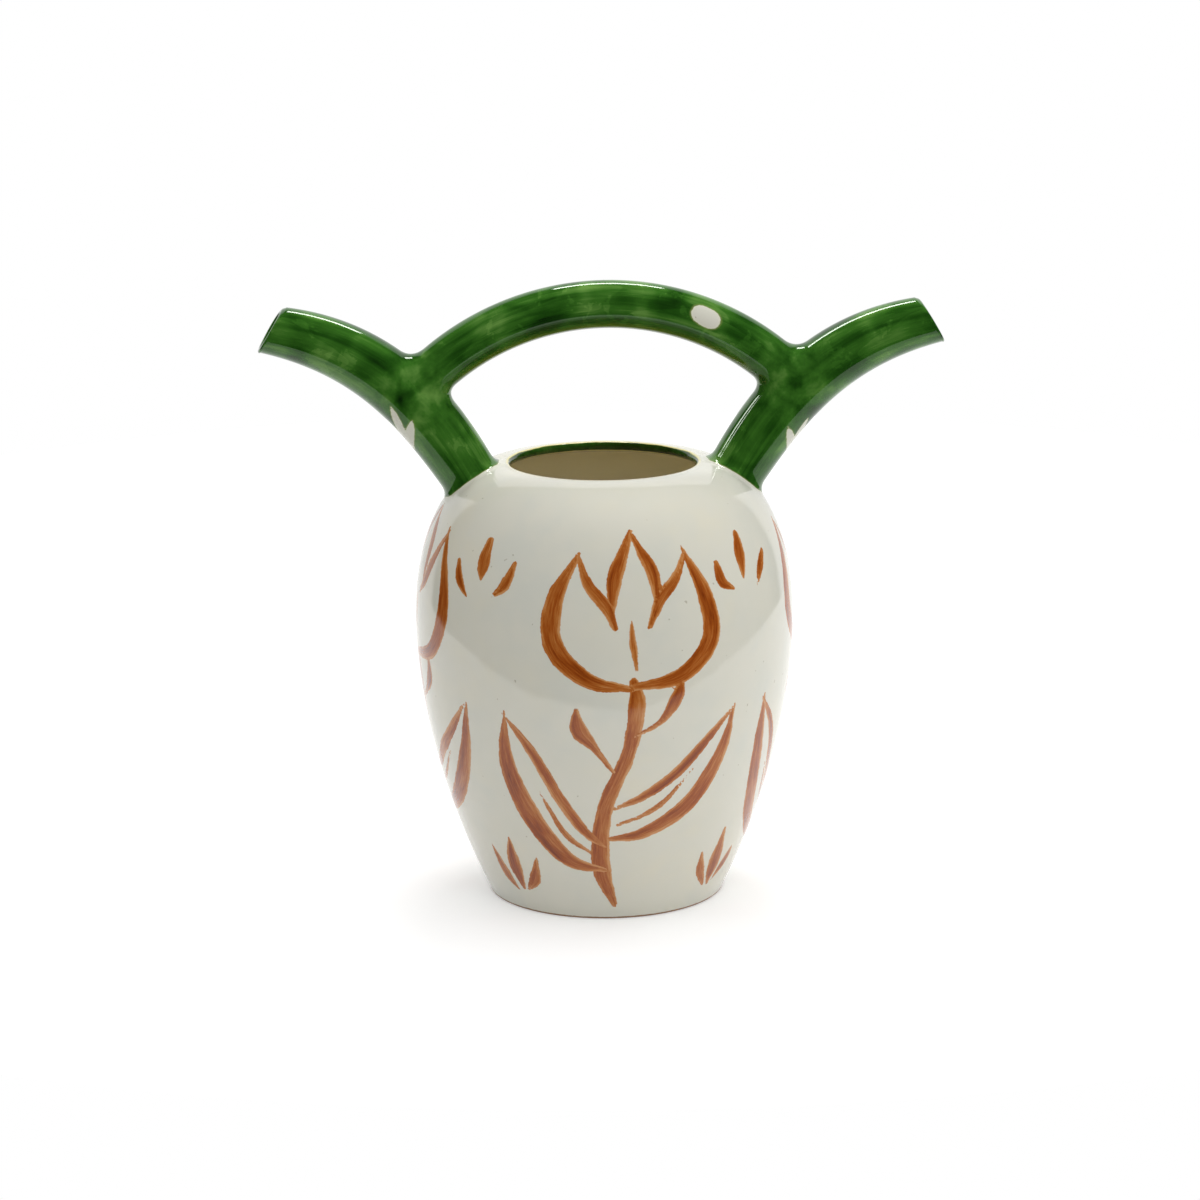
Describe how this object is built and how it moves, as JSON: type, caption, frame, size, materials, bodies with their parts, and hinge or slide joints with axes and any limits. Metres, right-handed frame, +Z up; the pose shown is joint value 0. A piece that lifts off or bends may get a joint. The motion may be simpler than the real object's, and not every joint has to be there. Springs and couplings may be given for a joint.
{
  "type": "two-spouted bridge-handled vase",
  "caption": "Glazed stoneware vase: a full-bellied turned pot with a low lip, hollow curved spouts rising from its shoulder and an arched tube handle bridging them over the open mouth.",
  "frame": {"origin": "centre of the foot ring, on the surface that the vase stands on", "axes": "+Z up, +X along the two spouts to the right-hand one, so the painted front faces -Y"},
  "size_m": [0.3828, 0.2136, 0.3498],
  "materials": {
    "white_glaze": "glossy ivory-white glaze with brushed rust-brown ornament",
    "green_glaze": "glossy translucent green glaze, brushed along the tubes",
    "luting_slip": "slip fillet under the same glossy green glaze"
  },
  "bodies": {
    "root": {"pot_body": "white_glaze", "left_spout": "green_glaze", "right_spout": "green_glaze", "bridge_handle": "green_glaze", "left_foot_seam": "luting_slip", "right_foot_seam": "luting_slip", "left_fork_seam": "luting_slip", "right_fork_seam": "luting_slip"}
  },
  "joints": []
}
